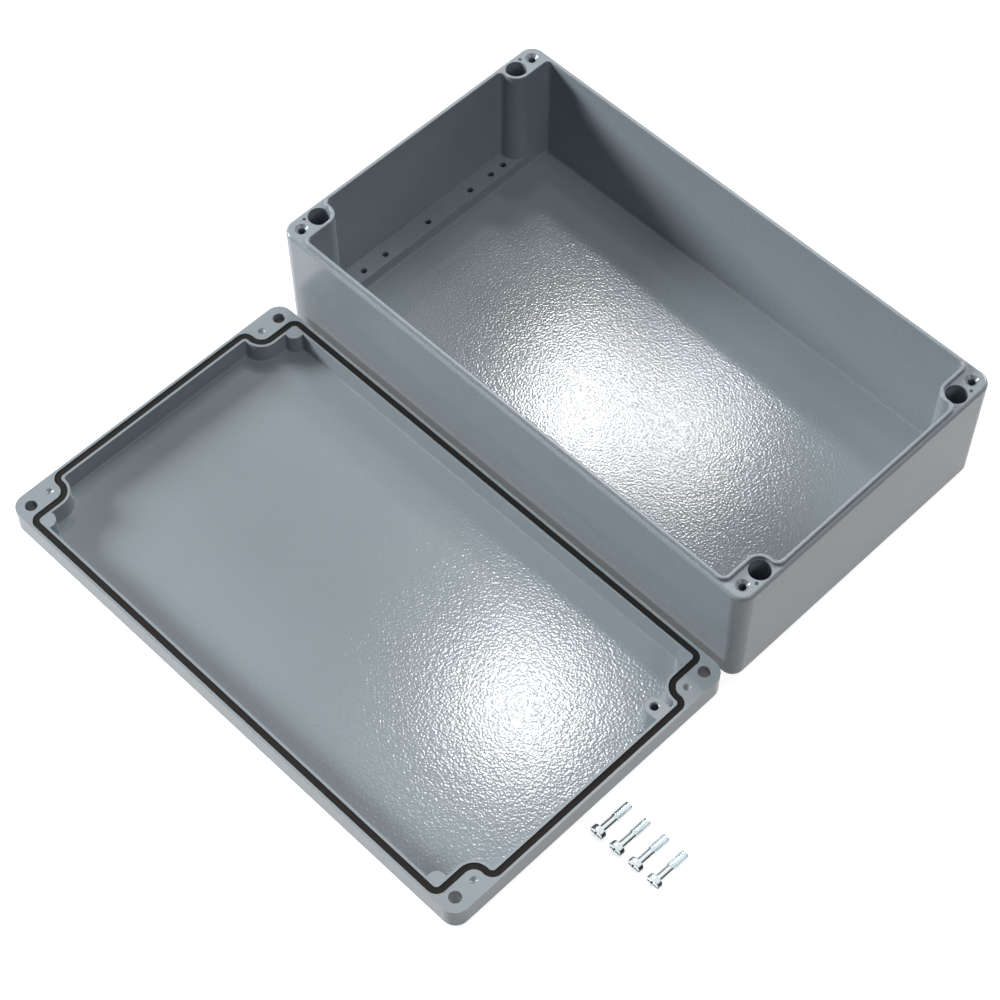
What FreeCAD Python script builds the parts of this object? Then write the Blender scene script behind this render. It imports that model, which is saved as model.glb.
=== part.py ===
import FreeCAD, Part
import math
import os
import Sketcher

# Die cast aluminium box, 400 x 230 x 110 mm when closed, laid out open.
# The base stands at the origin with its open side up. The lid lies inside up beside it,
# with its gasket in the groove, and the four lid screws lie in a row at the lid's end.
# +X is the long side, +Y points away from the lid, +Z is up, in millimetres.

doc = FreeCAD.newDocument("DieCastBox")
sheet = doc.addObject("Spreadsheet::Sheet", "Sizes")

sizes = (
    # Closed box
    ("box_length", 400, "over the outside of the lid and of the base's rim"),
    ("box_width", 230, "over the outside of the lid and of the base's rim"),
    ("base_height", 90.4, "underside to the corner platforms"),
    ("lid_height", 19.6, "outer face to the rim face"),
    ("corner_radius", 10, "upright outer corners"),
    ("screw_inset", 10, "lid screw axis from both outer faces"),
    ("mount_inset_end", 10, "wall screw axis from the short outer face"),
    ("mount_inset_side", 25, "wall screw axis from the long outer face"),
    # Line that the lip presses on and the gasket follows
    ("seal_inset", 3.9, "seal line from the outer faces"),
    ("seal_block", 19.1, "seal line from the short outer face beside a corner block"),
    ("seal_bend", 5, "radius of the seal line's bends round the cavity"),
    # Base casting
    ("base_draft", 0.9, "degrees, outer walls taper down to the underside"),
    ("base_edge", 3, "radius round the underside"),
    ("rim_edge", 2.3, "radius round the outer edge of the rim"),
    ("lip_width", 2.6, "sealing lip at its root"),
    ("lip_height", 2.5, "sealing lip above the platforms"),
    ("lip_draft", 4, "degrees, outer side of the lip"),
    ("lip_edge", 0.8, "radius on the lip's top edges"),
    ("cavity_draft", 1, "degrees, cavity walls"),
    ("base_floor", 4.5, "thickness of the floor"),
    ("floor_edge", 2, "radius between the floor and the walls"),
    ("ledge_height", 13.6, "top of the end ledges above the underside"),
    ("ledge_edge", 0.8, "radius on the ledges' front edge"),
    ("wall_bore", 14.4, "mouth of the deep bores for the wall screws"),
    ("bore_draft", 0.9, "degrees, the cast bores narrow downwards"),
    ("bore_floor", 8, "thickness left under the deep bores"),
    ("wall_hole", 6.6, "clearance hole for the wall screws"),
    # Threaded holes
    ("lid_tap", 5, "core of the tapped holes for the lid screws"),
    ("lid_tap_depth", 24, "depth of those holes"),
    ("lid_tap_sink", 9, "countersink of those holes"),
    ("ledge_tap", 4.2, "core of the tapped holes in the ledges"),
    ("ledge_tap_depth", 8, "depth of those holes"),
    ("ledge_tap_sink", 4.9, "countersink of those holes"),
    ("ledge_tap_inset", 15.5, "ledge hole axis from the short outer face"),
    ("ledge_tap_near", 40, "first pair of ledge holes from the middle"),
    ("ledge_tap_mid", 60, "second pair of ledge holes from the middle"),
    ("ledge_tap_far", 72, "third pair of ledge holes from the middle"),
    ("pit_inset_end", 5.2, "small drill pit from the short outer face"),
    ("pit_inset_side", 16.7, "small drill pit from the long outer face"),
    ("pit_width", 2.4, "mouth of the small drill pits"),
    ("pit_depth", 0.9, "straight part of those pits"),
    ("point_angle", 118, "degrees, drill point at the bottom of blind holes and marks"),
    ("sink_angle", 90, "degrees, all countersinks"),
    # Lid casting
    ("lid_draft", 1, "degrees, outer sides"),
    ("lid_edge", 3, "radius round the outer face"),
    ("lid_floor", 4.8, "thickness of the plate"),
    ("pocket_draft", 2, "degrees, walls of the hollow"),
    ("pocket_bend", 2.2, "radius of the hollow's upright corners"),
    ("pocket_edge", 1.4, "radius between the plate and the walls"),
    ("groove_width", 4.4, "gasket groove"),
    ("groove_depth", 5, "gasket groove"),
    ("band_width", 1.65, "rim left between the groove and the hollow"),
    ("post_radius", 6.2, "round post in each corner of the hollow"),
    ("post_offset", 2, "post axis from the hollow's two walls"),
    ("post_draft", 1, "degrees, the posts widen to the plate"),
    ("lid_hole", 8, "through hole for a lid screw"),
    ("lid_sink", 10.6, "counterbore for the screw's head, in the outer face"),
    ("lid_seat", 8, "thickness under the screw's head"),
    ("dimple_width", 5, "drill point marks over the wall screws"),
    ("mark_depth", 0.1, "straight part of those marks"),
    ("boss_inset_end", 15.2, "earth boss axis from the short outer face"),
    ("boss_inset_side", 48, "earth boss axis from the long outer face"),
    ("boss_radius", 6, "earth boss"),
    ("boss_recess", 1, "top of the earth boss below the rim face"),
    ("boss_draft", 1.5, "degrees, the boss widens to the plate"),
    ("earth_tap", 5, "core of the tapped earth hole"),
    ("earth_tap_depth", 12, "depth of the earth hole"),
    ("earth_tap_sink", 6.4, "countersink of the earth hole"),
    ("pip_inset_end", 16.6, "ejector mark from the short outer face"),
    ("pip_inset_side", 60.5, "ejector mark from the long outer face"),
    ("pip_width", 6, "ejector mark"),
    ("pip_height", 0.5, "ejector mark above the plate"),
    # Gasket
    ("gasket_side_gap", 0.05, "between the gasket and each side of the groove"),
    ("gasket_recess", 0.5, "gasket's flat top below the rim face"),
    ("gasket_edge", 0.45, "radius on the gasket's top edges"),
    # Lid screws
    ("head_width", 9.6, "cheese head"),
    ("head_height", 3.8, "cheese head"),
    ("head_chamfer", 0.5, "edge of the head's end face"),
    ("shank_length", 25, "under the head to the tip"),
    ("waist_width", 4.4, "thin shank that keeps the screw in the lid"),
    ("thread_width", 6, "outside of the thread"),
    ("thread_length", 12.5, "threaded end"),
    ("tip_chamfer", 0.8, "start of the thread"),
    ("slot_width", 1.4, "screwdriver slot"),
    ("slot_depth", 1.8, "screwdriver slot"),
    ("cross_span", 5.6, "cross recess, tip to tip"),
    ("cross_width", 1.6, "arms of the cross recess"),
    ("cross_depth", 2.4, "cross recess"),
    # How the pieces lie
    ("lid_gap", 5.35, "between the base's rim and the lid, seen from above"),
    ("lid_shift", -1.1, "lid's middle along the long side"),
    ("row_gap", 14.2, "lid's short face to the first screw's axis"),
    ("row_pitch", 15, "between the screws' axes"),
    ("row_shift", -10, "underside of the heads from the lid's middle line"),
)
for row, (alias, number, note) in enumerate(sizes, start=1):
    sheet.set("A%d" % row, alias)
    sheet.set("B%d" % row, str(number))
    sheet.set("C%d" % row, note)
    sheet.setAlias("B%d" % row, alias)
doc.recompute()


def value(expression):
    """Number that an expression of the sheet's cells gives now."""
    result = sheet.evalExpression(expression)
    return float(getattr(result, "Value", result))


def size(alias):
    """Expression that names one cell of the sheet."""
    return "Sizes." + alias


half_length = "Sizes.box_length / 2"
half_width = "Sizes.box_width / 2"


def new_body(label):
    body = doc.addObject("PartDesign::Body", label)
    body.Label = label
    return body


def new_sketch(body, name, height="0", role="XY_Plane"):
    """Sketch on one of the body's origin planes, raised by an expression."""
    sketch = body.newObject("Sketcher::SketchObject", name)
    plane = next(item for item in body.Origin.OriginFeatures if item.Role == role)
    sketch.AttachmentSupport = [(plane, "")]
    sketch.MapMode = "FlatFace"
    sketch.setExpression("AttachmentOffset.Base.z", height)
    return sketch


def hold(sketch, name, kind, refs, expression):
    """Add one dimension and tie it to the sheet."""
    index = sketch.addConstraint(Sketcher.Constraint(kind, *refs, value(expression)))
    sketch.renameConstraint(index, name)
    sketch.setExpression("Constraints." + name, expression)


def hold_place(sketch, name, geometry, point, axis, sign, expression):
    """Tie a point's distance from the origin along one axis, on its own side."""
    kind = "Distance" + axis
    refs = (-1, 1, geometry, point) if sign > 0 else (geometry, point, -1, 1)
    hold(sketch, name, kind, refs, expression)


def join(sketch, first, second):
    """Tangent joint at the ends that two curves share."""
    for end in (1, 2):
        for start in (1, 2):
            gap = sketch.getPoint(first, end) - sketch.getPoint(second, start)
            if gap.Length < 1e-6:
                sketch.addConstraint(Sketcher.Constraint("Tangent", first, end, second, start))
                return
    raise RuntimeError("curves %d and %d of %s don't meet" % (first, second, sketch.Name))


def line(sketch, start, end):
    return sketch.addGeometry(Part.LineSegment(FreeCAD.Vector(*start, 0), FreeCAD.Vector(*end, 0)))


def arc(sketch, centre, start, end, clockwise=False):
    """Arc round a centre from one point to another, added to the sketch."""
    if clockwise:
        start, end = end, start
    radius = math.dist(centre, start)
    angles = [math.atan2(point[1] - centre[1], point[0] - centre[0]) for point in (start, end)]
    circle = Part.Circle(FreeCAD.Vector(*centre, 0), FreeCAD.Vector(0, 0, 1), radius)
    return sketch.addGeometry(Part.ArcOfCircle(circle, angles[0], angles[1]))


def rounded_outline(sketch, prefix, half_x, half_y, radius):
    """Rectangle about the origin with round corners, in expressions."""
    x, y, bend = value(half_x), value(half_y), value(radius)
    walls = []
    bends = []
    for sx, sy in ((1, 1), (-1, 1), (-1, -1), (1, -1)):
        centre = (sx * (x - bend), sy * (y - bend))
        side = (sx * x, centre[1])
        top = (centre[0], sy * y)
        bends.append(arc(sketch, centre, side, top, clockwise=sx != sy))
        if sx == sy:
            walls.append(line(sketch, top, (-top[0], top[1])))
        else:
            walls.append(line(sketch, side, (side[0], -side[1])))
    names = ("Back", "Left", "Front", "Right")
    for index, wall in enumerate(walls):
        join(sketch, bends[index], wall)
        join(sketch, wall, bends[(index + 1) % 4])
        along_x = index % 2 == 0
        sketch.addConstraint(Sketcher.Constraint("Horizontal" if along_x else "Vertical", wall))
        sign = 1 if index in (0, 3) else -1
        axis, distance = ("Y", half_y) if along_x else ("X", half_x)
        hold_place(sketch, prefix + names[index], wall, 1, axis, sign, distance)
    hold(sketch, prefix + "Bend", "Radius", (bends[0],), radius)
    for bend_curve in bends[1:]:
        sketch.addConstraint(Sketcher.Constraint("Equal", bends[0], bend_curve))


def seal_outline(sketch, prefix, inward, bend=None):
    """Outline that runs beside the seal line, moved into the cavity by an expression.

    It follows each long wall, bends down the face of the corner block, swings round the
    deep bore of the wall screw and bends back into the short wall.
    """
    bend = bend or "Sizes.seal_bend - (%s)" % inward
    wall_x = "%s - Sizes.seal_inset - (%s)" % (half_length, inward)
    wall_y = "%s - Sizes.seal_inset - (%s)" % (half_width, inward)
    block_x = "%s - Sizes.seal_block - (%s)" % (half_length, inward)
    bore_x = "%s - Sizes.mount_inset_end" % half_length
    bore_y = "%s - Sizes.mount_inset_side" % half_width
    x, y, face = value(wall_x), value(wall_y), value(block_x)
    bore = (value(bore_x), value(bore_y))
    radius = value(bend)
    swing = bore[0] - face
    run = x - radius - bore[0]
    drop = math.sqrt((swing + radius) ** 2 - run ** 2)
    share = swing / (swing + radius)

    corners = []
    for sx, sy in ((1, 1), (-1, 1), (-1, -1), (1, -1)):
        turned = sx != sy

        def spot(px, py):
            return (sx * px, sy * py)

        inner = arc(sketch, spot(face - radius, y - radius), spot(face, y - radius),
                    spot(face - radius, y), clockwise=turned)
        block = line(sketch, spot(face, bore[1]), spot(face, y - radius))
        meet = (bore[0] + run * share, bore[1] - drop * share)
        round_bore = arc(sketch, spot(*bore), spot(face, bore[1]), spot(*meet), clockwise=turned)
        back = arc(sketch, spot(x - radius, bore[1] - drop), spot(x, bore[1] - drop),
                   spot(*meet), clockwise=turned)
        for first, second in ((inner, block), (block, round_bore), (round_bore, back)):
            join(sketch, first, second)
        sketch.addConstraint(Sketcher.Constraint("Vertical", block))
        tag = prefix + "%s%s" % ("R" if sx > 0 else "L", "B" if sy > 0 else "F")
        hold_place(sketch, tag + "Block", block, 1, "X", sx, block_x)
        hold_place(sketch, tag + "BoreX", round_bore, 3, "X", sx, bore_x)
        hold_place(sketch, tag + "BoreY", round_bore, 3, "Y", sy, bore_y)
        corners.append((inner, back))

    first_inner = corners[0][0]
    hold(sketch, prefix + "Bend", "Radius", (first_inner,), bend)
    for inner, back in corners:
        sketch.addConstraint(Sketcher.Constraint("Equal", first_inner, back))
        if inner != first_inner:
            sketch.addConstraint(Sketcher.Constraint("Equal", first_inner, inner))

    for sign, name, left, right in ((1, "Back", 1, 0), (-1, "Front", 2, 3)):
        wall = line(sketch, (-(face - radius), sign * y), (face - radius, sign * y))
        join(sketch, corners[left][0], wall)
        join(sketch, wall, corners[right][0])
        sketch.addConstraint(Sketcher.Constraint("Horizontal", wall))
        hold_place(sketch, prefix + name, wall, 1, "Y", sign, wall_y)
    for sign, name, low, high in ((1, "Right", 3, 0), (-1, "Left", 2, 1)):
        end = bore[1] - drop
        wall = line(sketch, (sign * x, -end), (sign * x, end))
        join(sketch, corners[low][1], wall)
        join(sketch, wall, corners[high][1])
        sketch.addConstraint(Sketcher.Constraint("Vertical", wall))
        hold_place(sketch, prefix + name, wall, 1, "X", sign, wall_x)


def circles(sketch, prefix, places, diameter):
    """Circles of one diameter; each place is (x sign, x, y sign, y) in expressions."""
    first = None
    for index, (sx, px, sy, py) in enumerate(places):
        centre = FreeCAD.Vector(sx * value(px), sy * value(py), 0)
        circle = Part.Circle(centre, FreeCAD.Vector(0, 0, 1), value(diameter) / 2)
        geometry = sketch.addGeometry(circle)
        hold_place(sketch, "%sX%d" % (prefix, index), geometry, 3, "X", sx, px)
        if sy:
            hold_place(sketch, "%sY%d" % (prefix, index), geometry, 3, "Y", sy, py)
        else:
            sketch.addConstraint(Sketcher.Constraint("PointOnObject", geometry, 3, -1))
        if first is None:
            first = geometry
            hold(sketch, prefix + "Size", "Diameter", (geometry,), diameter)
        else:
            sketch.addConstraint(Sketcher.Constraint("Equal", first, geometry))


def at_corners(inset_x, inset_y):
    """Places in the four corners, from the two outer faces."""
    px = "%s - Sizes.%s" % (half_length, inset_x)
    py = "%s - Sizes.%s" % (half_width, inset_y)
    return [(sx, px, sy, py) for sx in (1, -1) for sy in (1, -1)]


def settle(feature, label):
    feature.Label = label
    feature.Refine = True
    doc.recompute()
    if not feature.isValid():
        raise RuntimeError("%s failed: %s" % (label, feature.getStatusString()))
    return feature


def pad(body, sketch, label, length, taper="0", downwards=False):
    feature = body.newObject("PartDesign::Pad", label)
    feature.Profile = sketch
    feature.Reversed = downwards
    feature.setExpression("Length", length)
    feature.setExpression("TaperAngle", taper)
    return settle(feature, label)


def must_be_less(body, before, label):
    """Stop if a cutting feature has taken nothing away."""
    if not body.Shape.Volume < before:
        raise RuntimeError(label + " cuts nothing")


def pocket(body, sketch, label, length=None, taper="0", upwards=False, sides="One side"):
    """Pocket of a length, or right through where none is given."""
    before = body.Shape.Volume
    feature = body.newObject("PartDesign::Pocket", label)
    feature.Profile = sketch
    feature.Reversed = upwards
    feature.SideType = sides
    if length:
        feature.setExpression("Length", length)
        feature.setExpression("TaperAngle", taper)
    else:
        feature.Type = "ThroughAll"
    settle(feature, label)
    must_be_less(body, before, label)
    return feature


def drill(body, sketch, label, diameter, depth, sink=None):
    """Blind drilled holes at the sketch's circles, with a countersink where one is named."""
    doc.recompute()
    before = body.Shape.Volume
    feature = body.newObject("PartDesign::Hole", label)
    feature.Profile = sketch
    feature.ThreadType = "None"
    feature.setExpression("Diameter", diameter)
    feature.DepthType = "Dimension"
    feature.setExpression("Depth", depth)
    feature.DrillPoint = "Angled"
    feature.setExpression("DrillPointAngle", size("point_angle"))
    if sink:
        feature.HoleCutType = "Countersink"
        feature.HoleCutCustomValues = True
        feature.setExpression("HoleCutDiameter", sink)
        feature.setExpression("HoleCutCountersinkAngle", size("sink_angle"))
    settle(feature, label)
    must_be_less(body, before, label)
    return feature


def level_edges(shape, height):
    """Names of the edges that lie level at a height."""
    names = []
    for index, edge in enumerate(shape.Edges, start=1):
        middle = edge.valueAt((edge.FirstParameter + edge.LastParameter) / 2)
        heights = [vertex.Z for vertex in edge.Vertexes] + [middle.z]
        if all(abs(z - height) < 1e-4 for z in heights):
            names.append("Edge%d" % index)
    return names


def fillet(body, label, radius, height):
    """Round all the level edges at a height."""
    base = body.Tip
    names = level_edges(base.Shape, value(height))
    if not names:
        raise RuntimeError(label + " found no edges")
    feature = body.newObject("PartDesign::Fillet", label)
    feature.Base = (base, names)
    feature.setExpression("Radius", radius)
    return settle(feature, label)


wall_places = at_corners("mount_inset_end", "mount_inset_side")
screw_places = at_corners("screw_inset", "screw_inset")
pit_places = at_corners("pit_inset_end", "pit_inset_side")


def round_ledges(body, front, length):
    """Round the front edges of the two end ledges, over a length between the corner blocks."""
    sketch = new_sketch(body, "LedgeProfile", role="XZ_Plane")
    radius = size("ledge_edge")
    inner = "%s + %s" % (front, radius)
    outer = "%s - %s" % (front, radius)
    foot = "Sizes.ledge_height - %s" % radius
    x, near, far = value(front), value(outer), value(inner)
    top, low = value("Sizes.ledge_height"), value(foot)
    for sign, side in ((1, "Right"), (-1, "Left")):
        bend = arc(sketch, (sign * far, low), (sign * far, top), (sign * x, low), sign < 0)
        lid = line(sketch, (sign * near, top), (sign * far, top))
        face = line(sketch, (sign * near, low), (sign * near, top))
        step = line(sketch, (sign * x, low), (sign * near, low))
        join(sketch, lid, bend)
        sketch.addConstraint(Sketcher.Constraint("Coincident", bend, 2 if sign > 0 else 1, step, 1))
        sketch.addConstraint(Sketcher.Constraint("Coincident", step, 2, face, 1))
        sketch.addConstraint(Sketcher.Constraint("Coincident", face, 2, lid, 1))
        sketch.addConstraint(Sketcher.Constraint("Horizontal", lid))
        sketch.addConstraint(Sketcher.Constraint("Horizontal", step))
        sketch.addConstraint(Sketcher.Constraint("Vertical", face))
        hold_place(sketch, side + "CentreX", bend, 3, "X", sign, inner)
        hold_place(sketch, side + "CentreZ", bend, 3, "Y", 1, foot)
        hold_place(sketch, side + "Foot", step, 2, "Y", 1, foot)
        hold_place(sketch, side + "Face", face, 1, "X", sign, outer)
        hold(sketch, side + "Radius", "Radius", (bend,), radius)
    pocket(body, sketch, "LedgeRound", length, sides="Symmetric")


def make_base():
    """Open base casting with its corner blocks, sealing lip and end ledges."""
    body = new_body("enclosure_base")
    rim = size("base_height")
    lip_top = "Sizes.base_height + Sizes.lip_height"
    half_lip = "Sizes.lip_width / 2"

    sketch = new_sketch(body, "BaseOutline", rim)
    rounded_outline(sketch, "Rim", half_length, half_width, size("corner_radius"))
    pad(body, sketch, "BaseBlock", rim, "-Sizes.base_draft", downwards=True)
    fillet(body, "UndersideEdge", size("base_edge"), "0")
    fillet(body, "RimEdge", size("rim_edge"), rim)

    sketch = new_sketch(body, "LipOutline", rim)
    seal_outline(sketch, "Lip", "-" + half_lip)
    pad(body, sketch, "Lip", size("lip_height"), "-Sizes.lip_draft")

    # The cavity is cut in two steps, so that the end ledges stay between the corner blocks
    sketch = new_sketch(body, "CavityOutline", lip_top)
    seal_outline(sketch, "Cavity", half_lip)
    to_ledge = "(%s - Sizes.ledge_height)" % lip_top
    pocket(body, sketch, "Cavity", to_ledge, "-Sizes.cavity_draft")

    narrowing = "%s * tan(Sizes.cavity_draft * 1 deg)" % to_ledge
    inward = "(%s + %s)" % (half_lip, narrowing)
    sketch = new_sketch(body, "WellOutline", size("ledge_height"))
    rounded_outline(sketch, "Well",
                    "%s - Sizes.seal_block - %s" % (half_length, inward),
                    "%s - Sizes.seal_inset - %s" % (half_width, inward),
                    "Sizes.seal_bend - %s" % inward)
    pocket(body, sketch, "Well", "Sizes.ledge_height - Sizes.base_floor", "-Sizes.cavity_draft")
    fillet(body, "FloorEdge", size("floor_edge"), size("base_floor"))
    fillet(body, "LipEdge", size("lip_edge"), lip_top)
    round_ledges(body, "%s - Sizes.seal_block - %s" % (half_length, inward),
                 "Sizes.box_width - 2 * (Sizes.mount_inset_side + Sizes.mount_inset_end)")

    sketch = new_sketch(body, "WallBores", rim)
    circles(sketch, "Bore", wall_places, size("wall_bore"))
    pocket(body, sketch, "DeepBores", "Sizes.base_height - Sizes.bore_floor", "-Sizes.bore_draft")
    sketch = new_sketch(body, "WallHoles")
    circles(sketch, "Hole", wall_places, size("wall_hole"))
    pocket(body, sketch, "WallScrewHoles", upwards=True)

    sketch = new_sketch(body, "LidTaps", rim)
    circles(sketch, "Tap", screw_places, size("lid_tap"))
    drill(body, sketch, "LidScrewThreads", size("lid_tap"), size("lid_tap_depth"),
          size("lid_tap_sink"))
    sketch = new_sketch(body, "Pits", rim)
    circles(sketch, "Pit", pit_places, size("pit_width"))
    drill(body, sketch, "DrillPits", size("pit_width"), size("pit_depth"))

    tap_x = "%s - Sizes.ledge_tap_inset" % half_length
    taps = [(sx, tap_x, 0, "0") for sx in (1, -1)]
    for alias in ("ledge_tap_near", "ledge_tap_mid", "ledge_tap_far"):
        taps += [(sx, tap_x, sy, size(alias)) for sx in (1, -1) for sy in (1, -1)]
    sketch = new_sketch(body, "LedgeTaps", size("ledge_height"))
    circles(sketch, "Tap", taps, size("ledge_tap"))
    drill(body, sketch, "LedgeThreads", size("ledge_tap"), size("ledge_tap_depth"),
          size("ledge_tap_sink"))
    return body


def place_with_lid(body, x="0", y="0", z="0"):
    """Put a body beside the base, at a place counted from the lid's middle."""
    body.setExpression("Placement.Base.x", "Sizes.lid_shift + (%s)" % x)
    body.setExpression("Placement.Base.y", "-(Sizes.box_width + Sizes.lid_gap) + (%s)" % y)
    body.setExpression("Placement.Base.z", z)


def make_lid():
    """Lid casting, its outer face on the ground and its gasket groove up."""
    body = new_body("enclosure_lid")
    rim = size("lid_height")
    hollow_depth = "(Sizes.lid_height - Sizes.lid_floor)"
    half_groove = "Sizes.groove_width / 2"
    hollow_inward = "(%s + Sizes.band_width)" % half_groove

    sketch = new_sketch(body, "LidOutline", rim)
    rounded_outline(sketch, "Rim", half_length, half_width, size("corner_radius"))
    pad(body, sketch, "LidBlock", rim, "-Sizes.lid_draft", downwards=True)
    fillet(body, "OuterEdge", size("lid_edge"), "0")

    sketch = new_sketch(body, "HollowOutline", rim)
    seal_outline(sketch, "Hollow", hollow_inward, size("pocket_bend"))
    pocket(body, sketch, "Hollow", hollow_depth, "-Sizes.pocket_draft")
    fillet(body, "HollowEdge", size("pocket_edge"), size("lid_floor"))

    # Posts and boss go a little into the plate, so that they are one piece with it
    root = "Sizes.lid_floor / 2"
    sketch = new_sketch(body, "PostOutlines", rim)
    post_x = "%s - Sizes.seal_block - %s - Sizes.post_offset" % (half_length, hollow_inward)
    post_y = "%s - Sizes.seal_inset - %s - Sizes.post_offset" % (half_width, hollow_inward)
    posts = [(sx, post_x, sy, post_y) for sx in (1, -1) for sy in (1, -1)]
    circles(sketch, "Post", posts, "Sizes.post_radius * 2")
    pad(body, sketch, "CornerPosts", "%s + %s" % (hollow_depth, root), size("post_draft"),
        downwards=True)

    sketch = new_sketch(body, "BossOutline", "Sizes.lid_height - Sizes.boss_recess")
    boss_x = "%s - Sizes.boss_inset_end" % half_length
    boss_y = "%s - Sizes.boss_inset_side" % half_width
    boss_end = "%s - Sizes.seal_inset - %s - Sizes.band_width / 2" % (half_length, half_groove)
    x, y, end, radius = value(boss_x), value(boss_y), value(boss_end), value("Sizes.boss_radius")
    back = line(sketch, (x, y + radius), (end, y + radius))
    face = line(sketch, (end, y + radius), (end, y - radius))
    front = line(sketch, (end, y - radius), (x, y - radius))
    nose = arc(sketch, (x, y), (x, y + radius), (x, y - radius))
    join(sketch, nose, back)
    join(sketch, nose, front)
    for first, second in ((back, face), (face, front)):
        sketch.addConstraint(Sketcher.Constraint("Coincident", first, 2, second, 1))
    sketch.addConstraint(Sketcher.Constraint("Horizontal", back))
    sketch.addConstraint(Sketcher.Constraint("Vertical", face))
    sketch.addConstraint(Sketcher.Constraint("Horizontal", front))
    hold_place(sketch, "BossX", nose, 3, "X", 1, boss_x)
    hold_place(sketch, "BossY", nose, 3, "Y", 1, boss_y)
    hold_place(sketch, "BossEnd", face, 1, "X", 1, boss_end)
    hold(sketch, "BossRadius", "Radius", (nose,), size("boss_radius"))
    pad(body, sketch, "EarthBoss", "%s - Sizes.boss_recess + %s" % (hollow_depth, root),
        size("boss_draft"), downwards=True)

    sketch = new_sketch(body, "PipOutline", size("lid_floor"))
    pip_x = "%s - Sizes.pip_inset_end" % half_length
    pip_y = "%s - Sizes.pip_inset_side" % half_width
    circles(sketch, "Pip", [(1, pip_x, 1, pip_y)], size("pip_width"))
    pad(body, sketch, "EjectorMark", size("pip_height"))

    sketch = new_sketch(body, "GrooveOutline", rim)
    seal_outline(sketch, "Outer", "-" + half_groove)
    seal_outline(sketch, "Inner", half_groove)
    pocket(body, sketch, "GasketGroove", size("groove_depth"))

    sketch = new_sketch(body, "ScrewHoles", rim)
    circles(sketch, "Hole", screw_places, size("lid_hole"))
    pocket(body, sketch, "LidScrewHoles")
    sketch = new_sketch(body, "HeadSinks")
    circles(sketch, "Sink", screw_places, size("lid_sink"))
    pocket(body, sketch, "HeadCounterbores", "Sizes.lid_height - Sizes.lid_seat", upwards=True)

    sketch = new_sketch(body, "DimpleCircles", rim)
    circles(sketch, "Dimple", wall_places, size("dimple_width"))
    drill(body, sketch, "Dimples", size("dimple_width"), size("mark_depth"))

    sketch = new_sketch(body, "EarthTap", "Sizes.lid_height - Sizes.boss_recess")
    circles(sketch, "Earth", [(1, boss_x, 1, boss_y)], size("earth_tap"))
    drill(body, sketch, "EarthThread", size("earth_tap"), size("earth_tap_depth"),
          size("earth_tap_sink"))
    place_with_lid(body)
    return body


def make_gasket():
    """Flat topped rubber ring that fills the lid's groove."""
    body = new_body("lid_gasket")
    half_ring = "(Sizes.groove_width / 2 - Sizes.gasket_side_gap)"
    sketch = new_sketch(body, "RingOutline", "Sizes.lid_height - Sizes.groove_depth")
    seal_outline(sketch, "Outer", "-" + half_ring)
    seal_outline(sketch, "Inner", half_ring)
    pad(body, sketch, "Ring", "Sizes.groove_depth - Sizes.gasket_recess")
    fillet(body, "RingEdge", size("gasket_edge"), "Sizes.lid_height - Sizes.gasket_recess")
    place_with_lid(body)
    return body


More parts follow.
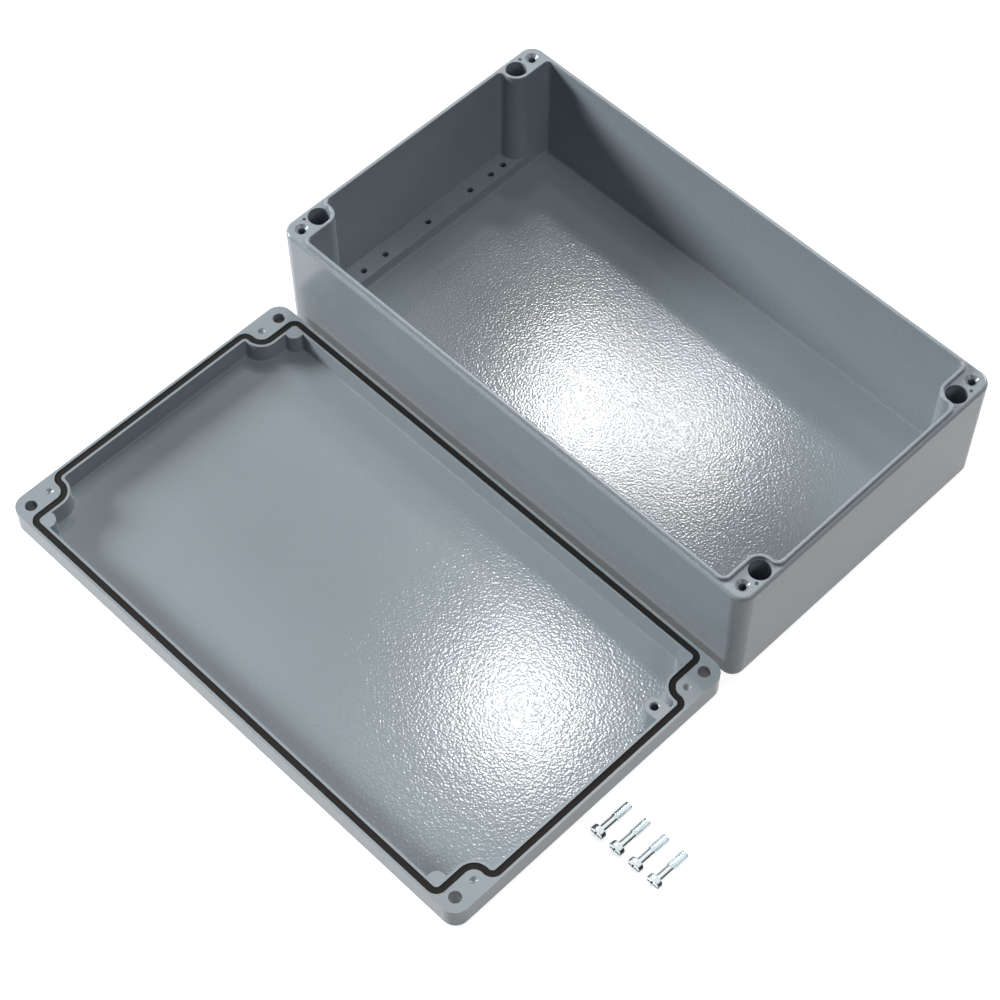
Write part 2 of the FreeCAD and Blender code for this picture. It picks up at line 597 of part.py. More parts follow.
def make_screw(number):
    """Captive cheese head screw: head, thin waist and thread, with slot and cross recess."""
    body = new_body("lid_screw_%d" % number)
    head = "Sizes.head_width / 2"
    waist = "Sizes.waist_width / 2"
    thread = "Sizes.thread_width / 2"
    runout = "(Sizes.thread_width - Sizes.waist_width) / 2"
    corners = (
        ("Axis", "0", "Sizes.head_height"),
        ("FaceEdge", head + " - Sizes.head_chamfer", "Sizes.head_height"),
        ("Chamfer", head, "Sizes.head_height - Sizes.head_chamfer"),
        ("Head", head, "0"),
        ("WaistTop", waist, "0"),
        ("WaistEnd", waist, "-(Sizes.shank_length - Sizes.thread_length - %s)" % runout),
        ("ThreadTop", thread, "-(Sizes.shank_length - Sizes.thread_length)"),
        ("ThreadEnd", thread, "-(Sizes.shank_length - Sizes.tip_chamfer)"),
        ("TipEdge", thread + " - Sizes.tip_chamfer", "-Sizes.shank_length"),
        ("Tip", "0", "-Sizes.shank_length"),
    )
    sketch = new_sketch(body, "ScrewProfile%d" % number, role="XZ_Plane")
    points = [(value(x), value(z)) for name, x, z in corners]
    count = len(points)
    for index, point in enumerate(points):
        line(sketch, point, points[(index + 1) % count])
    for index, (name, x, z) in enumerate(corners):
        before = (index - 1) % count
        sketch.addConstraint(Sketcher.Constraint("Coincident", before, 2, index, 1))
        if x == "0":
            sketch.addConstraint(Sketcher.Constraint("PointOnObject", index, 1, -2))
        else:
            hold_place(sketch, name + "X", index, 1, "X", 1, x)
        if z == "0":
            sketch.addConstraint(Sketcher.Constraint("PointOnObject", index, 1, -1))
        elif z.startswith("-"):
            hold_place(sketch, name + "Z", index, 1, "Y", -1, z[1:])
        else:
            hold_place(sketch, name + "Z", index, 1, "Y", 1, z)
    turned = body.newObject("PartDesign::Revolution", "TurnedShape%d" % number)
    turned.Profile = sketch
    turned.ReferenceAxis = (sketch, ["V_Axis"])
    turned.Angle = 360
    settle(turned, "TurnedShape%d" % number)

    def recess(name, long_side, short_side, depth):
        cut = new_sketch(body, "%s%d" % (name, number), size("head_height"))
        x, y = value(long_side) / 2, value(short_side) / 2
        spots = ((-x, -y), (x, -y), (x, y), (-x, y))
        for index, spot in enumerate(spots):
            line(cut, spot, spots[(index + 1) % 4])
        for index in range(4):
            cut.addConstraint(Sketcher.Constraint("Coincident", index, 2, (index + 1) % 4, 1))
            kind = "Vertical" if index % 2 else "Horizontal"
            cut.addConstraint(Sketcher.Constraint(kind, index))
        cut.addConstraint(Sketcher.Constraint("Symmetric", 0, 1, 2, 1, -1, 1))
        hold(cut, "Long", "DistanceX", (0, 1, 0, 2), long_side)
        hold(cut, "Short", "DistanceY", (1, 1, 1, 2), short_side)
        pocket(body, cut, name + "Cut%d" % number, depth)

    recess("Slot", "2 * Sizes.head_width", size("slot_width"), size("slot_depth"))
    recess("CrossA", size("cross_span"), size("cross_width"), size("cross_depth"))
    recess("CrossB", size("cross_width"), size("cross_span"), size("cross_depth"))

    # The screw rests on the rim of its head and on the end of its thread, head towards -Y
    lean = "atan((%s - %s) / (Sizes.shank_length - Sizes.tip_chamfer))" % (head, thread)
    body.Placement.Rotation = FreeCAD.Rotation(FreeCAD.Vector(1, 0, 0), 90 - value(lean))
    body.setExpression("Placement.Rotation.Angle", "90 deg - %s" % lean)
    place_with_lid(body, "%s + Sizes.row_gap + %d * Sizes.row_pitch" % (half_length, number - 1),
                   size("row_shift"), "%s * cos(%s)" % (head, lean))
    return body


screw_count = 4
pieces = [make_base(), make_lid(), make_gasket()]
pieces += [make_screw(number) for number in range(1, screw_count + 1)]
doc.recompute()

for item in doc.Objects:
    if "Invalid" in item.State or "Error" in item.State:
        raise RuntimeError("%s is %s" % (item.Label, item.State))
for piece in pieces:
    if piece.Shape.isNull() or not piece.Shape.isValid() or len(piece.Shape.Solids) != 1:
        raise RuntimeError(piece.Label + " isn't one sound solid")

os.makedirs("parts", exist_ok=True)
for piece in pieces:
    piece.Shape.exportStep("parts/%s.step" % piece.Label)
    box = piece.Shape.optimalBoundingBox(False, True)
    print("%-14s %9.1f mm3  x %.2f..%.2f  y %.2f..%.2f  z %.2f..%.2f"
          % (piece.Label, piece.Shape.Volume, box.XMin, box.XMax, box.YMin, box.YMax,
             box.ZMin, box.ZMax))
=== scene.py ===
import math

import bmesh
import bpy
from mathutils import Matrix, Vector


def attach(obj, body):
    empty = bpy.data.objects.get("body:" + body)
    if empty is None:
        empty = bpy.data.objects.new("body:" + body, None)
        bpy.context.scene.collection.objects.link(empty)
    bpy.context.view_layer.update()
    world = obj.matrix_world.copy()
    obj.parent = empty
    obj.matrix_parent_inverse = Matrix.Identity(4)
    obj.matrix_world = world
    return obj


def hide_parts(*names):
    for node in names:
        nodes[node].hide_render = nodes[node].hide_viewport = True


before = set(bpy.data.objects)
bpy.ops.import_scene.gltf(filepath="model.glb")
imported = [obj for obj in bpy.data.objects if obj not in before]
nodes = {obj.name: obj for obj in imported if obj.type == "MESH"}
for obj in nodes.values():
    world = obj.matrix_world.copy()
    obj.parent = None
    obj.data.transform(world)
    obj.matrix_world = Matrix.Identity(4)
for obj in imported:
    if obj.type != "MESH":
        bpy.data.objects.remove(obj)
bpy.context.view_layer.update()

mm = 0.001               # one millimetre in metres


# Small helpers for colours, nodes and objects

def toLinear(hexColour):
    parts = [int(hexColour[i:i + 2], 16) / 255 for i in (1, 3, 5)]
    linear = [p / 12.92 if p <= 0.04045 else ((p + 0.055) / 1.055) ** 2.4 for p in parts]
    return (*linear, 1.0)


def noiseScale(width):
    return 1 / (width * mm)  # width in mm


def addNode(tree, kind, settings=None, links=None):
    node = tree.nodes.new(kind)
    for name, setting in (settings or {}).items():
        if isinstance(name, int) or name in node.inputs:
            node.inputs[name].default_value = setting
        else:
            setattr(node, name, setting)
    for name, source in (links or {}).items():
        tree.links.new(source, node.inputs[name])
    return node


def newMaterial(name):
    material = bpy.data.materials.new(name)
    material.use_nodes = True
    material.node_tree.nodes.clear()
    return material, material.node_tree


def giveMaterial(piece, material):
    piece.data.materials.clear()
    piece.data.materials.append(material)


def linkObject(name, data):
    piece = bpy.data.objects.new(name, data)
    bpy.context.scene.collection.objects.link(piece)
    return piece


def lookAt(place, target):
    turned = (target - place).to_track_quat("-Z", "Y").to_matrix().to_4x4()
    return Matrix.Translation(place) @ turned


# Camera: stands in front of the box's right corner and looks down at 56 degrees

cameraPlan = {
    "place": (0.66993, -0.78493, 1.40228),  # metres
    "aim": (0.00258, -0.12186, 0.0),        # point on the ground in the picture's middle
    "lens": 95.4,                           # mm on a 36 mm sensor
    "roll": -0.15,                          # degrees
    "shiftX": 0.0044,
}


def addCamera(plan):
    data = bpy.data.cameras.new("camera")
    data.lens = plan["lens"]
    data.shift_x = plan["shiftX"]
    camera = linkObject("camera", data)
    roll = Matrix.Rotation(math.radians(plan["roll"]), 4, "Z")
    camera.matrix_world = lookAt(Vector(plan["place"]), Vector(plan["aim"])) @ roll
    bpy.context.scene.camera = camera


addCamera(cameraPlan)
print("camera placed")


# Studio: pale ground, plain fill and soft lamps

studio = {
    "groundSize": 8.0,         # metres
    "groundDrop": 0.0003,      # metres under the box, so that the faces don't flicker
    "groundColour": "#b4b4b4",
    "groundGlow": 0.85,        # its own light, which only the camera and gloss see
    "fillColour": "#ffffff",
    "fillStrength": 0.02,
}


def whenSeen(tree, plain, seen):
    # What is pale shows to the camera, in gloss and through glass, and doesn't light matt surfaces
    path = addNode(tree, "ShaderNodeLightPath")
    either = addNode(tree, "ShaderNodeMath", {"operation": "MAXIMUM"},
                     {0: path.outputs["Is Camera Ray"], 1: path.outputs["Is Glossy Ray"]})
    anyOf = addNode(tree, "ShaderNodeMath", {"operation": "MAXIMUM"},
                    {0: either.outputs[0], 1: path.outputs["Is Transmission Ray"]})
    return addNode(tree, "ShaderNodeMixShader", links={0: anyOf.outputs[0], 1: plain, 2: seen})


def addWorld(plan):
    world = bpy.data.worlds.new("studio")
    world.use_nodes = True
    tree = world.node_tree
    tree.nodes.clear()
    fill = addNode(tree, "ShaderNodeBackground",
                   {"Color": toLinear(plan["fillColour"]), "Strength": plan["fillStrength"]})
    white = addNode(tree, "ShaderNodeBackground", {"Color": (1, 1, 1, 1), "Strength": 1.0})
    mixed = whenSeen(tree, fill.outputs[0], white.outputs[0])
    addNode(tree, "ShaderNodeOutputWorld", links={"Surface": mixed.outputs[0]})
    world.cycles.sampling_method = "NONE"  # the fill is weak, so the lamps get the light samples
    bpy.context.scene.world = world


def addGround(plan):
    half = plan["groundSize"] / 2
    mesh = bpy.data.meshes.new("ground")
    corners = [(x * half, y * half, -plan["groundDrop"]) for x, y in ((-1, -1), (1, -1), (1, 1), (-1, 1))]
    mesh.from_pydata(corners, [], [(0, 1, 2, 3)])
    ground = linkObject("ground", mesh)
    material, tree = newMaterial("matt white paper")
    material.cycles.emission_sampling = "NONE"  # its glow is only seen and lights nothing
    paper = addNode(tree, "ShaderNodeBsdfDiffuse", {"Color": toLinear(plan["groundColour"])})
    glow = addNode(tree, "ShaderNodeEmission", {"Color": (1, 1, 1, 1), "Strength": plan["groundGlow"]})
    lit = addNode(tree, "ShaderNodeAddShader", links={0: paper.outputs[0], 1: glow.outputs[0]})
    mixed = whenSeen(tree, paper.outputs[0], lit.outputs[0])
    addNode(tree, "ShaderNodeOutputMaterial", links={"Surface": mixed.outputs[0]})
    giveMaterial(ground, material)


# Soft boxes stand round the box's middle: azimuth counts from +X, elevation from the ground.
# The low key box throws the shadows of the lid's and the base's walls on their floors.
softboxes = {
    "key box": {"azimuth": 210, "elevation": 20, "size": 1.2, "power": 13.8},
    "back box": {"azimuth": 90, "elevation": 25, "size": 1.2, "power": 5.1},
    "right box": {"azimuth": 0, "elevation": 35, "size": 1.2, "power": 1.7},
    "top box": {"azimuth": 0, "elevation": 89, "size": 1.6, "power": 1.2},
}
lampPlan = {
    "boxMiddle": (0.0, -0.12, 0.0),
    "distance": 4.0,      # metres
    "gridAngle": 40,      # degrees: a grid on each soft box keeps its light on the object
    "colour": "#ffffff",
}


def addLamp(name, place, target, size, power, shape="SQUARE"):
    data = bpy.data.lights.new(name, "AREA")
    data.shape = shape
    data.size = size
    data.energy = power
    data.color = toLinear(lampPlan["colour"])[:3]
    lamp = linkObject(name, data)
    lamp.matrix_world = lookAt(place, target)
    return lamp


def addSoftbox(name, plan):
    azimuth = math.radians(plan["azimuth"])
    elevation = math.radians(plan["elevation"])
    towards = Vector((math.cos(azimuth) * math.cos(elevation), math.sin(azimuth) * math.cos(elevation),
                      math.sin(elevation)))
    middle = Vector(lampPlan["boxMiddle"])
    place = middle + towards * lampPlan["distance"]
    lamp = addLamp(name, place, middle, plan["size"], plan["power"])
    lamp.data.spread = math.radians(lampPlan["gridAngle"])


# Small lamps above and behind the box: each is placed by the spot on the floors where its glint shows
glints = {
    "spots": (
        {"at": (-0.010, -0.037), "long": 0.08, "wide": 0.05, "turn": -56.6, "power": 3.4},
        {"at": (0.058, 0.001), "long": 0.06, "wide": 0.05, "turn": -56.6, "power": 2.0},
        {"at": (0.122, -0.219), "long": 0.07, "wide": 0.065, "turn": 0, "power": 3.1},
    ),
    "floorHeight": 0.0047,   # metres, floors of base and lid
    "distance": 2.2,         # metres from the spot
}


def addGlints(plan):
    height = plan["floorHeight"]
    seenFrom = Vector(cameraPlan["place"])
    seenFrom.z = 2 * height - seenFrom.z  # the camera's mirror image in the floor
    for number, spot in enumerate(plan["spots"], start=1):
        target = Vector((*spot["at"], height))
        place = target + (target - seenFrom).normalized() * plan["distance"]
        spread = 1 + plan["distance"] / (target - seenFrom).length
        lamp = addLamp("glint %d" % number, place, target, spot["long"] * spread, spot["power"], "ELLIPSE")
        lamp.data.size_y = spot["wide"] * spread
        away = (place - target).normalized()
        turn = math.radians(spot["turn"])
        along = Vector((math.cos(turn), math.sin(turn), 0))
        along = (along - away * along.dot(away)).normalized()
        across = away.cross(along)
        lamp.matrix_world = Matrix(((along.x, across.x, away.x, place.x),
                                    (along.y, across.y, away.y, place.y),
                                    (along.z, across.z, away.z, place.z),
                                    (0, 0, 0, 1)))


addWorld(studio)
addGround(studio)
for name, plan in softboxes.items():
    addSoftbox(name, plan)
addGlints(glints)
print("studio lit")


# Castings: die cast aluminium under semi-gloss silver grey powder coat.
# The melted coat doesn't level out fully, and this orange peel breaks up the glints on the floors.

powderCoat = {
    # Painted light and shade: a paler copy of the coat on level faces, a darker one on upright faces
    "litLevelColour": "#939da3",     # painted light: level faces are drawn a little paler than upright ones
    "shadedUprightColour": "#858e94",
    "levelFacing": (0.8, 0.98),   # how far a face looks up where the pale colour begins and is full
    "shadeWidth": 60.0,           # mm, a guess
    "shadeDepth": 0.05,           # share by which the colour wanders
    "speckWidth": 1.1,            # mm, a fine mottle, drawn coarser than it is: at 0.8 it doesn't show
    "speckDepth": {"enclosure_base": 0.07, "enclosure_lid": 0.02},  # it hardly shows on the lid
    "speckSpan": (0.3, 0.7),      # most of the noise lies between these
    "ior": 1.5,                   # typical of paint
    "floorRoughness": 0.125,
    "wallRoughness": 0.24,
    "footRoughness": 0.6,         # the rounded feet of walls and ledges, which stay dull
    "footShade": 0.82,            # and darkened a little by painted shade
    "footTop": 16.0,              # mm, nothing higher counts as a foot
    "footTilt": (0.1, 0.25),      # how far a foot looks up where it leaves the wall
    "footFlat": (0.995, 0.93),    # and where it meets the floor
    "peelWidth": 1.4,             # mm, cell of the noise: the crests come out about 2.2 mm apart
    "peelDepth": 0.056,           # mm, on the floors
    "wallDepth": 0.006,           # mm, on walls and rims
    "grainWidth": 0.7,            # mm, a guess, too faint to measure
    "grainDepth": 0.002,          # mm
    "floorTop": 5.6,              # mm, both floors lie below this height
    "peelFacing": 0.9,            # how far a face down there has to look up to carry the peel
    "glossFacing": 0.99,          # and the floors' gloss
}


def makePowderCoat(plan, speckDepth):
    material, tree = newMaterial("silver grey powder coat")
    spot = addNode(tree, "ShaderNodeTexCoord").outputs["Object"]
    shape = addNode(tree, "ShaderNodeNewGeometry")
    height = addNode(tree, "ShaderNodeSeparateXYZ", links={0: shape.outputs["Position"]}).outputs["Z"]
    facing = addNode(tree, "ShaderNodeSeparateXYZ", links={0: shape.outputs["True Normal"]}).outputs["Z"]

    # Floors: orange peel and gloss
    low = addNode(tree, "ShaderNodeMath", {"operation": "LESS_THAN", 1: plan["floorTop"] * mm}, {0: height})
    level = addNode(tree, "ShaderNodeMath", {"operation": "GREATER_THAN", 1: plan["peelFacing"]},
                    {0: facing})
    onFloor = addNode(tree, "ShaderNodeMath", {"operation": "MULTIPLY"},
                      {0: low.outputs[0], 1: level.outputs[0]})
    depth = addNode(tree, "ShaderNodeMapRange",
                    {"To Min": plan["wallDepth"] * mm, "To Max": plan["peelDepth"] * mm},
                    {"Value": onFloor.outputs[0]})
    flat = addNode(tree, "ShaderNodeMath", {"operation": "GREATER_THAN", 1: plan["glossFacing"]},
                   {0: facing})
    flatFloor = addNode(tree, "ShaderNodeMath", {"operation": "MULTIPLY"},
                        {0: low.outputs[0], 1: flat.outputs[0]})

    # Rounded feet of walls and ledges
    nearFoot = addNode(tree, "ShaderNodeMath", {"operation": "LESS_THAN", 1: plan["footTop"] * mm},
                       {0: height})
    tilted = addNode(tree, "ShaderNodeMapRange",
                     {"From Min": plan["footTilt"][0], "From Max": plan["footTilt"][1]}, {"Value": facing})
    notFlat = addNode(tree, "ShaderNodeMapRange",
                      {"From Min": plan["footFlat"][0], "From Max": plan["footFlat"][1]}, {"Value": facing})
    rounded = addNode(tree, "ShaderNodeMath", {"operation": "MULTIPLY"},
                      {0: tilted.outputs[0], 1: notFlat.outputs[0]})
    foot = addNode(tree, "ShaderNodeMath", {"operation": "MULTIPLY"},
                   {0: rounded.outputs[0], 1: nearFoot.outputs[0]})
    wallRough = addNode(tree, "ShaderNodeMapRange",
                        {"To Min": plan["wallRoughness"], "To Max": plan["footRoughness"]},
                        {"Value": foot.outputs[0]})
    rough = addNode(tree, "ShaderNodeMapRange", {"To Max": plan["floorRoughness"]},
                    {"Value": flatFloor.outputs[0], "To Min": wallRough.outputs[0]})

    # Bumps: a fine grain everywhere under the peel
    peel = addNode(tree, "ShaderNodeTexNoise", {"Scale": noiseScale(plan["peelWidth"]), "Detail": 0.0},
                   {"Vector": spot})
    grain = addNode(tree, "ShaderNodeTexNoise", {"Scale": noiseScale(plan["grainWidth"]), "Detail": 1.0},
                    {"Vector": spot})
    grainBump = addNode(tree, "ShaderNodeBump", {"Distance": plan["grainDepth"] * mm},
                        {"Height": grain.outputs["Fac"]})
    bump = addNode(tree, "ShaderNodeBump", links={
        "Height": peel.outputs["Fac"], "Distance": depth.outputs[0], "Normal": grainBump.outputs[0]})

    # Colour: painted light and shade by facing, a slow wander, the fine mottle, and painted shade on the
    # rounded feet
    # painted light and shade: level faces take the paler colour, upright faces the darker one
    paintedLightByFacing = addNode(tree, "ShaderNodeMapRange",
                      {"From Min": plan["levelFacing"][0], "From Max": plan["levelFacing"][1]},
                      {"Value": facing})
    colour = addNode(tree, "ShaderNodeMix", {"data_type": "RGBA", 6: toLinear(plan["shadedUprightColour"]),
                                             7: toLinear(plan["litLevelColour"])}, {0: paintedLightByFacing.outputs[0]})
    shade = addNode(tree, "ShaderNodeTexNoise", {"Scale": noiseScale(plan["shadeWidth"]), "Detail": 3.0},
                    {"Vector": spot})
    wander = addNode(tree, "ShaderNodeMapRange",
                     {"To Min": 1 - plan["shadeDepth"], "To Max": 1 + plan["shadeDepth"]},
                     {"Value": shade.outputs["Fac"]})
    speck = addNode(tree, "ShaderNodeTexNoise", {"Scale": noiseScale(plan["speckWidth"]), "Detail": 1.0},
                    {"Vector": spot})
    specks = addNode(tree, "ShaderNodeMapRange",
                     {"From Min": plan["speckSpan"][0], "From Max": plan["speckSpan"][1],
                      "To Min": 1 - speckDepth, "To Max": 1 + speckDepth}, {"Value": speck.outputs["Fac"]})
    grainy = addNode(tree, "ShaderNodeMath", {"operation": "MULTIPLY"},
                     {0: wander.outputs[0], 1: specks.outputs[0]})
    # painted shade: the rounded feet of walls and ledges are darkened
    footPaintedShade = addNode(tree, "ShaderNodeMapRange", {"To Min": 1.0, "To Max": plan["footShade"]},
                     {"Value": foot.outputs[0]})
    value = addNode(tree, "ShaderNodeMath", {"operation": "MULTIPLY"},
                    {0: grainy.outputs[0], 1: footPaintedShade.outputs[0]})
    shaded = addNode(tree, "ShaderNodeHueSaturation",
                     links={"Color": colour.outputs[2], "Value": value.outputs[0]})
    surface = addNode(tree, "ShaderNodeBsdfPrincipled", {"IOR": plan["ior"]},
                      {"Base Color": shaded.outputs[0], "Roughness": rough.outputs[0],
                       "Normal": bump.outputs[0]})
    addNode(tree, "ShaderNodeOutputMaterial", links={"Surface": surface.outputs[0]})
    return material


for node, speckDepth in powderCoat["speckDepth"].items():
    giveMaterial(nodes[node], makePowderCoat(powderCoat, speckDepth))
print("castings coated")


# Gasket: moulded black rubber, matt with a fine grain

gasketRubber = {
    "colour": "#181615",
    "gloss": 0.2,        # specular level, low because the rubber hardly shines
    "roughness": 0.7,
    "grainWidth": 0.8,   # mm, a guess, coarse enough to show
    "grainDepth": 0.02,  # mm
}


def makeRubber(plan):
    material, tree = newMaterial("moulded black rubber")
    spot = addNode(tree, "ShaderNodeTexCoord").outputs["Object"]
    grain = addNode(tree, "ShaderNodeTexNoise", {"Scale": noiseScale(plan["grainWidth"]), "Detail": 3.0},
                    {"Vector": spot})
    bump = addNode(tree, "ShaderNodeBump", {"Distance": plan["grainDepth"] * mm},
                   {"Height": grain.outputs["Fac"]})
    surface = addNode(tree, "ShaderNodeBsdfPrincipled",
                      {"Base Color": toLinear(plan["colour"]), "Roughness": plan["roughness"],
                       "Specular IOR Level": plan["gloss"]}, {"Normal": bump.outputs[0]})
    addNode(tree, "ShaderNodeOutputMaterial", links={"Surface": surface.outputs[0]})
    return material


giveMaterial(nodes["lid_gasket"], makeRubber(gasketRubber))
print("gasket done")


# Screws: turned steel with a rolled M6 thread, bright zinc plated, which mirrors the studio slightly blurred

zincPlate = {
    "colour": "#dfe8eb",
    "flankPaintedReflection": "#34393b",     # a painted dark reflection along each lower flank, because the pale ground alone leaves the plating too white there
                                  # ground alone leaves the plating too white there
    "flankFacing": (0.74, 0.60),  # how far a face looks up where the line begins and is full
    "endFacing": (0.75, 0.6),     # faces that look along the screw's lie (Y) stay bright
    "roughness": 0.14,
    "hazeWidth": 2.0,             # mm, a guess
    "hazeShare": (0.8, 1.3),      # the roughness wanders between these shares of its value
}


def makeZinc(plan):
    material, tree = newMaterial("bright zinc plated steel")
    spot = addNode(tree, "ShaderNodeTexCoord").outputs["Object"]
    shape = addNode(tree, "ShaderNodeNewGeometry")
    facing = addNode(tree, "ShaderNodeSeparateXYZ", links={0: shape.outputs["Normal"]})
    low = addNode(tree, "ShaderNodeMapRange",
                  {"From Min": plan["flankFacing"][0], "From Max": plan["flankFacing"][1]},
                  {"Value": facing.outputs["Z"]})
    endwise = addNode(tree, "ShaderNodeMath", {"operation": "ABSOLUTE"}, {0: facing.outputs["Y"]})
    sideways = addNode(tree, "ShaderNodeMapRange",
                       {"From Min": plan["endFacing"][0], "From Max": plan["endFacing"][1]},
                       {"Value": endwise.outputs[0]})
    # painted reflection: sideways-facing lower flanks get a dark line
    paintedReflectionMask = addNode(tree, "ShaderNodeMath", {"operation": "MULTIPLY"},
                    {0: low.outputs[0], 1: sideways.outputs[0]})
    colour = addNode(tree, "ShaderNodeMix", {"data_type": "RGBA", 6: toLinear(plan["colour"]),
                                             7: toLinear(plan["flankPaintedReflection"])}, {0: paintedReflectionMask.outputs[0]})
    haze = addNode(tree, "ShaderNodeTexNoise", {"Scale": noiseScale(plan["hazeWidth"]), "Detail": 2.0},
                   {"Vector": spot})
    rough = addNode(tree, "ShaderNodeMapRange",
                    {"To Min": plan["roughness"] * plan["hazeShare"][0],
                     "To Max": plan["roughness"] * plan["hazeShare"][1]}, {"Value": haze.outputs["Fac"]})
    surface = addNode(tree, "ShaderNodeBsdfPrincipled", {"Metallic": 1.0},
                      {"Base Color": colour.outputs[2], "Roughness": rough.outputs[0]})
    addNode(tree, "ShaderNodeOutputMaterial", links={"Surface": surface.outputs[0]})
    return material


lidScrew = {                # mm, the head above 0 and the shank below it
    "headWidth": 9.6,
    "headHeight": 3.8,
    "headChamfer": 0.5,
    "waistWidth": 4.4,
    "waistOverlap": 0.2,    # how far the waist runs into the thread
    "threadStart": 11.7,    # from the head, where the waist begins to widen
    "shankLength": 25.0,
    "crestWidth": 5.98,
    "rootWidth": 4.7,
    "threadPitch": 1.0,
    "threadShares": (0.0, 0.125, 0.44, 0.69),  # of a turn: the crest from and to, the root from and to
    "tipWidth": 4.4,
    "slotWidth": 1.4,
    "slotDepth": 1.8,
    "crossSpan": 5.6,
    "crossWidth": 1.6,
    "crossDepth": 2.4,
    "crossTaper": 0.55,     # share of its width that the cross keeps at the bottom
    "cutterRise": 0.5,      # how far the cutters stand out of the head
    "edgeBevel": 0.1,
    "bevelSegments": 2,
    "bevelAngle": 30,       # degrees, sharper edges are softened
    "smoothAngle": 35,      # degrees, sharper edges are shaded sharp
    "weldDistance": 1e-4,
    "sides": 48,
}
screwRow = {
    "count": 4,
    "first": (213.1, -245.35, 4.787),  # mm, under the first head
    "pitch": 15.0,                     # mm
    "lean": 4.25,                      # degrees: each lies on its head's rim and its thread's end
}


def addTurned(mesh, profile, sides):
    rings = []
    for radius, height in profile:
        count = sides if radius else 1
        angles = [math.tau * i / sides for i in range(count)]
        rings.append([mesh.verts.new((radius * math.cos(angle), radius * math.sin(angle), height))
                      for angle in angles])
    for upper, lower in zip(rings, rings[1:]):
        for i in range(sides):
            j = (i + 1) % sides
            corners = (upper[i % len(upper)], lower[i % len(lower)],
                       lower[j % len(lower)], upper[j % len(upper)])
            mesh.faces.new(tuple(dict.fromkeys(corners)))


def addThread(mesh, plan):
    # One sheet wound round the axis: each column is a little lower than the one before it
    sides, pitch = plan["sides"], plan["threadPitch"]
    top, end = -plan["threadStart"], -plan["shankLength"]
    crest, root = plan["crestWidth"] / 2, plan["rootWidth"] / 2
    profile = tuple(zip(plan["threadShares"], (crest, crest, root, root)))
    turns = math.ceil((top - end) / pitch) + 2  # the spare turns are clipped at the thread's ends
    rows = [(turn + share, radius) for turn in range(turns + 1) for share, radius in profile]
    columns = []
    for i in range(sides):
        angle = math.tau * i / sides
        column = []
        for place, radius in rows:
            height = min(max(top + pitch * (1 - place - i / sides), end), top)
            nearWaist = plan["waistWidth"] / 2 + (top - height)
            nearTip = plan["tipWidth"] / 2 + (height - end)
            radius = min(radius, nearWaist, nearTip)
            column.append(mesh.verts.new((radius * math.cos(angle), radius * math.sin(angle), height)))
        columns.append(column)
    last = len(rows) - 1
    for i in range(sides):
        shift = len(profile) if i == sides - 1 else 0
        here, there = columns[i], columns[(i + 1) % sides]
        for row in range(last - shift):
            mesh.faces.new((here[row], here[row + 1], there[row + 1 + shift], there[row + shift]))
    mesh.faces.new([column[last] for column in columns][::-1])
    mesh.faces.new([column[0] for column in columns])  # closes the sheet inside the waist
    bmesh.ops.remove_doubles(mesh, verts=mesh.verts, dist=plan["weldDistance"])


def addCutter(length, width, depth, top, rise, taper=1.0):
    mesh = bmesh.new()
    bmesh.ops.create_cube(mesh, size=1.0)
    for corner in mesh.verts:
        share = taper if corner.co.z < 0 else 1.0
        height = rise if corner.co.z > 0 else -depth
        corner.co = (corner.co.x * length * share, corner.co.y * width * share, top + height)
    data = bpy.data.meshes.new("cutter")
    mesh.to_mesh(data)
    mesh.free()
    return linkObject("cutter", data)


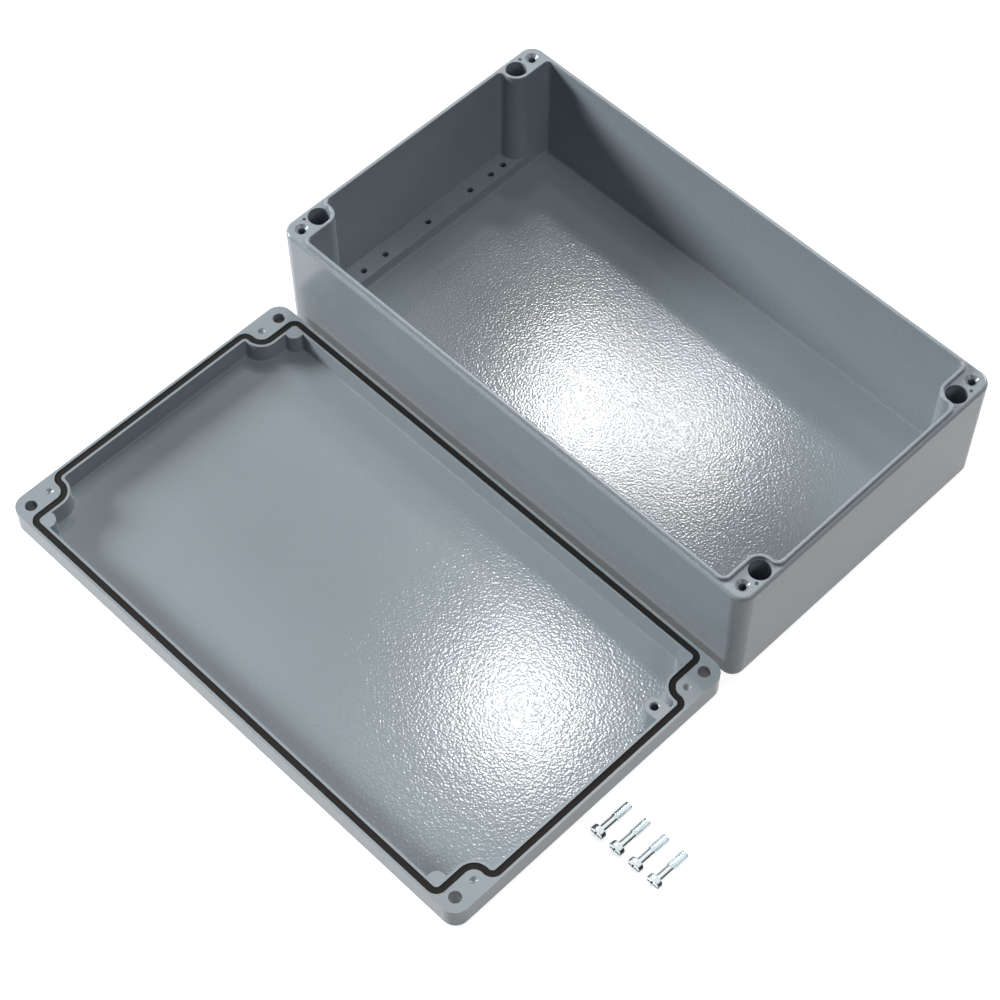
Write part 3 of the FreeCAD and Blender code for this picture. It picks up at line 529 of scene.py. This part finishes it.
def cutHead(plan):
    head, half, waist = plan["headHeight"], plan["headWidth"] / 2, plan["waistWidth"] / 2
    chamfer, below = plan["headChamfer"], -plan["threadStart"] - plan["waistOverlap"]
    turned = bmesh.new()
    addTurned(turned, ((0, head), (half - chamfer, head), (half, head - chamfer), (half, 0), (waist, 0),
                       (waist, below), (0, below)), plan["sides"])
    bmesh.ops.recalc_face_normals(turned, faces=turned.faces)
    data = bpy.data.meshes.new("screw head")
    turned.to_mesh(data)
    turned.free()
    body = linkObject("screw head", data)
    rise, taper = plan["cutterRise"], plan["crossTaper"]
    span, arm, deep = plan["crossSpan"], plan["crossWidth"], plan["crossDepth"]
    across = 2 * plan["headWidth"]  # longer than the head, so that the slot runs right through it
    cutters = [addCutter(across, plan["slotWidth"], plan["slotDepth"], head, rise),
               addCutter(span, arm, deep, head, rise, taper),
               addCutter(arm, span, deep, head, rise, taper)]
    for cutter in cutters:
        cut = body.modifiers.new("recess", "BOOLEAN")
        cut.operation = "DIFFERENCE"
        cut.solver = "EXACT"
        cut.object = cutter
    soften = body.modifiers.new("soft edges", "BEVEL")
    soften.width = plan["edgeBevel"]
    soften.segments = plan["bevelSegments"]
    soften.limit_method = "ANGLE"
    soften.angle_limit = math.radians(plan["bevelAngle"])
    cutBody = bpy.data.meshes.new_from_object(body.evaluated_get(bpy.context.evaluated_depsgraph_get()))
    for helper in (body, *cutters):
        bpy.data.objects.remove(helper)
    return cutBody


def makeScrewMesh(plan):
    cutBody = cutHead(plan)
    mesh = bmesh.new()
    addThread(mesh, plan)
    bmesh.ops.recalc_face_normals(mesh, faces=mesh.faces)
    mesh.from_mesh(cutBody)
    bmesh.ops.scale(mesh, vec=(mm, mm, mm), verts=mesh.verts)
    for face in mesh.faces:
        face.smooth = True
    screw = bpy.data.meshes.new("lid screw")
    mesh.to_mesh(screw)
    mesh.free()
    screw.set_sharp_from_angle(angle=math.radians(plan["smoothAngle"]))
    return screw


zinc = makeZinc(zincPlate)
screwMesh = makeScrewMesh(lidScrew)
laidDown = Matrix.Rotation(math.radians(90 - screwRow["lean"]), 4, "X")
for number in range(screwRow["count"]):
    screw = linkObject("lidScrew%d" % (number + 1), screwMesh.copy())
    x, y, z = screwRow["first"]
    place = Vector((x + number * screwRow["pitch"], y, z)) * mm
    screw.data.transform(Matrix.Translation(place) @ laidDown)
    giveMaterial(screw, zinc)
    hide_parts("lid_screw_%d" % (number + 1))
    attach(screw, "root")
print("screws done")

bpy.context.scene.view_settings.view_transform = "Standard"
